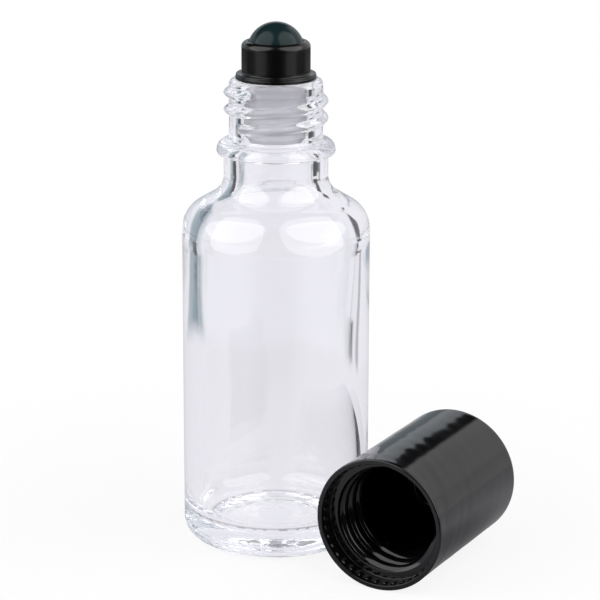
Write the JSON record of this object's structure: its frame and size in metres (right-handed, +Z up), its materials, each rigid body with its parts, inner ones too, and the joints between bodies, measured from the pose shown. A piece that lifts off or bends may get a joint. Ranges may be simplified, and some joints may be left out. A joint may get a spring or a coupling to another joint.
{
  "type": "roll on bottle",
  "caption": "Clear glass roll-on bottle with a pressed-in plug, a black housing that traps a rolling ball, and a black screw cap lying beside it.",
  "frame": {"origin": "centre of the ring that the bottle stands on, on the surface that carries it", "axes": "+Z up the bottle's axis towards the ball; +X from the bottle to the cap that lies beside it; the cap's axis is parallel to Y and its mouth faces -Y"},
  "size_m": [0.057, 0.034, 0.0928],
  "materials": {
    "clear_glass": "smooth, clear",
    "natural_polyethylene": "waxy, translucent",
    "black_collar_plastic": "moulded, satin gloss",
    "dark_glass": "polished, dark",
    "black_cap_plastic": "moulded, gloss"
  },
  "bodies": {
    "bottle": {"bottle": "clear_glass", "seat_plug": "natural_polyethylene", "ball_housing": "black_collar_plastic"},
    "ball": {"ball": "dark_glass"},
    "cap": {"cap": "black_cap_plastic"}
  },
  "joints": [
    {"name": "ball_roll", "type": "hinge", "parent": "bottle", "child": "ball", "pos_m": [0, 0, 0.08785], "axis": [1, 0, 0], "continuous": true},
    {"name": "cap_lift", "type": "slide", "parent": "bottle", "child": "cap", "axis": [0, 0, 1], "range_m": [0, 0.095]}
  ]
}
